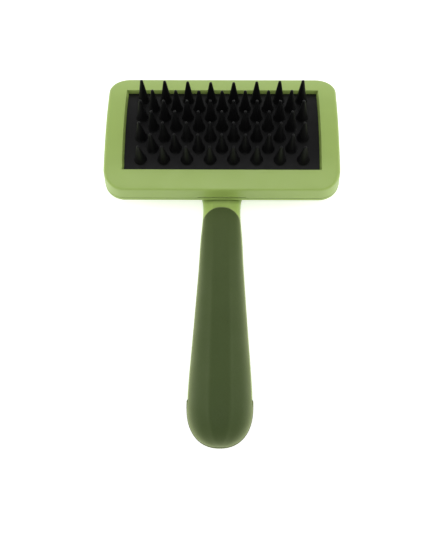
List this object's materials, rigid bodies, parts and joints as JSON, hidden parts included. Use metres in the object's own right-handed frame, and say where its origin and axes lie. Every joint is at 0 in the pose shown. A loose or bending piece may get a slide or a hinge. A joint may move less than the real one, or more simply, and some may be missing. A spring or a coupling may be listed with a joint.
{
  "type": "grooming brush",
  "caption": "Hand-held pet grooming brush: convex rubber pad of cones in a rounded plastic head, on a soft-grip handle.",
  "frame": {"origin": "middle of the flat back of the head, on the plane that the brush lies on", "axes": "+X across the head, +Y away from the handle, +Z the way the cones point"},
  "size_m": [0.103, 0.1674, 0.0353],
  "materials": {
    "shell_plastic": "satin light green moulded plastic",
    "inner_plastic": "plain black moulded plastic, hidden inside",
    "pad_rubber": "satin black soft rubber",
    "grip_rubber": "matt dark green soft-touch rubber",
    "screw_steel": "zinc plated"
  },
  "bodies": {
    "root": {"head_frame": "shell_plastic", "rubber_pad": "pad_rubber", "support_plate": "inner_plastic", "rear_shell": "shell_plastic", "handle_front_shell": "shell_plastic", "neck_screws": "screw_steel", "front_grip": "grip_rubber", "rear_grip": "grip_rubber"}
  },
  "joints": []
}
